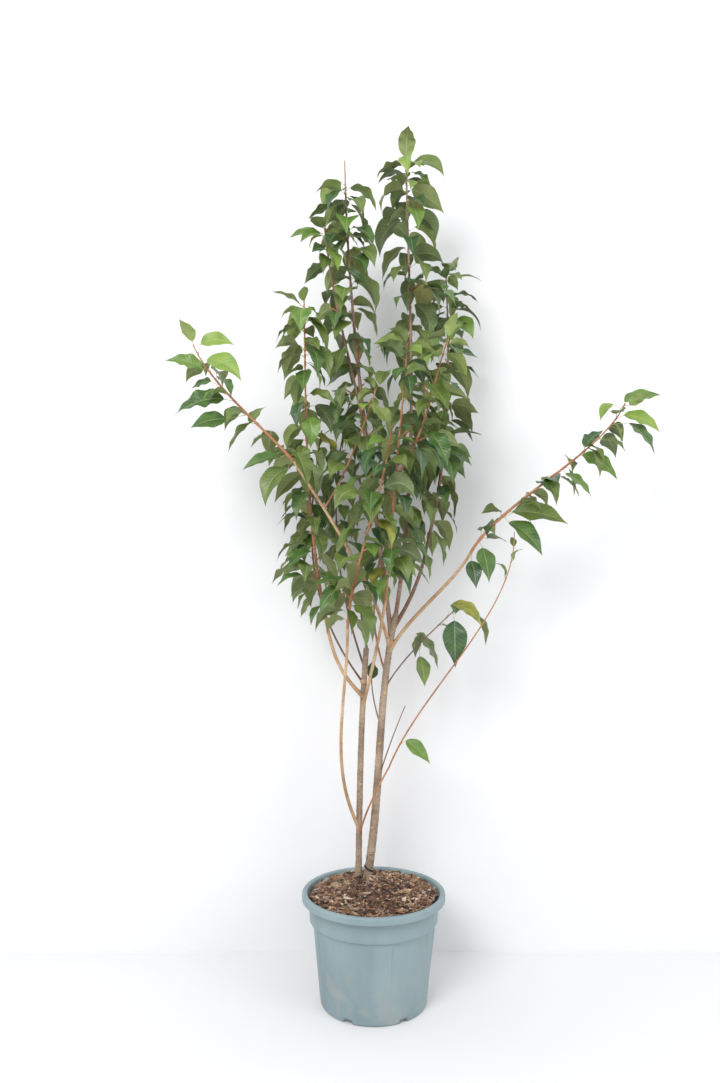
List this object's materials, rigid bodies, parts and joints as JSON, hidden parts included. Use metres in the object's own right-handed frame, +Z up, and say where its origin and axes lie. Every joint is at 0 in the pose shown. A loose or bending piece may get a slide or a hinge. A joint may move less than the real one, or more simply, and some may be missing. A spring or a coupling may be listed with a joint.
{
  "type": "potted flowering cherry tree",
  "caption": "Young multi-stem flowering cherry with long upright leafy shoots in a round grey-blue nursery pot topped with bark mulch.",
  "frame": {"origin": "centre of the pot's flat underside", "axes": "+Z up along the pot's axis, -Y towards the front"},
  "size_m": [1.4433, 0.5345, 2.5477],
  "materials": {
    "pot_plastic": "matte moulded",
    "bark_chips": "rough chipped bark",
    "tie_rubber": "matte",
    "living_bark": "smooth bark with raised pores",
    "dead_wood": "weathered",
    "leaf_and_shoot": "satin leaf"
  },
  "bodies": {
    "root": {"bough_left": "living_bark", "bough_right": "living_bark", "dead_stub": "dead_wood", "foot_tie": "tie_rubber", "leaves_back_left": "leaf_and_shoot", "leaves_back_middle": "leaf_and_shoot", "leaves_back_right": "leaf_and_shoot", "leaves_bough_left": "leaf_and_shoot", "leaves_bough_right": "leaf_and_shoot", "leaves_centre": "leaf_and_shoot", "leaves_inner_left": "leaf_and_shoot", "leaves_inner_twig": "leaf_and_shoot", "leaves_leader": "leaf_and_shoot", "leaves_low_right": "leaf_and_shoot", "leaves_low_twig": "leaf_and_shoot", "leaves_middle": "leaf_and_shoot", "leaves_outer_left": "leaf_and_shoot", "leaves_red_shoot": "leaf_and_shoot", "leaves_upright": "leaf_and_shoot", "limb_inner_left": "living_bark", "limb_middle": "living_bark", "limb_outer_left": "living_bark", "limb_upright": "living_bark", "pot": "pot_plastic", "potting_mix": "bark_chips", "shoot_low_right": "living_bark", "trunk_left": "living_bark", "trunk_right": "living_bark", "twig_bare": "living_bark"}
  },
  "joints": []
}
